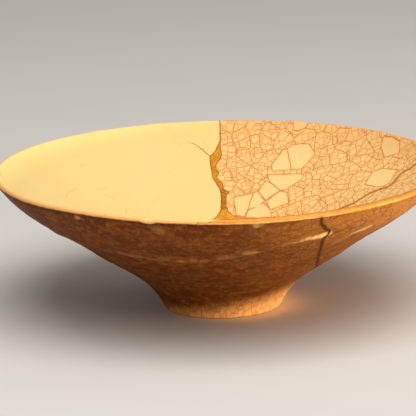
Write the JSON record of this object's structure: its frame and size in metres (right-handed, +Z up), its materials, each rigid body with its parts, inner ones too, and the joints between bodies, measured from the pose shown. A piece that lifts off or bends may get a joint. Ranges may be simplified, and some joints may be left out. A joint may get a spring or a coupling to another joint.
{
  "type": "kintsugi bowl",
  "caption": "Wide conical stoneware tea bowl on a small foot, broken into large shards and mended with lacquer, a gold seam inside and a gold lip at the front right.",
  "frame": {"origin": "centre of the foot ring's underside, on the bowl's axis", "axes": "+Z up through the mouth; +Y to the back, where the gold seam meets the rim; +X to the crackled right side"},
  "size_m": [0.15, 0.15, 0.0477],
  "materials": {
    "ivory_glaze": "satin glaze over stoneware",
    "crackled_glaze": "satin glaze with a stained red-brown crackle",
    "brown_lacquer": "semi-gloss lacquer",
    "gold_powder": "satin gold powder on lacquer"
  },
  "bodies": {
    "root": {"ivory_shard": "ivory_glaze", "crackled_shard": "crackled_glaze", "foot_shard": "crackled_glaze", "rim_shard": "crackled_glaze", "lacquer_seam": "brown_lacquer", "gold_seam": "gold_powder", "gold_rim": "gold_powder"}
  },
  "joints": []
}
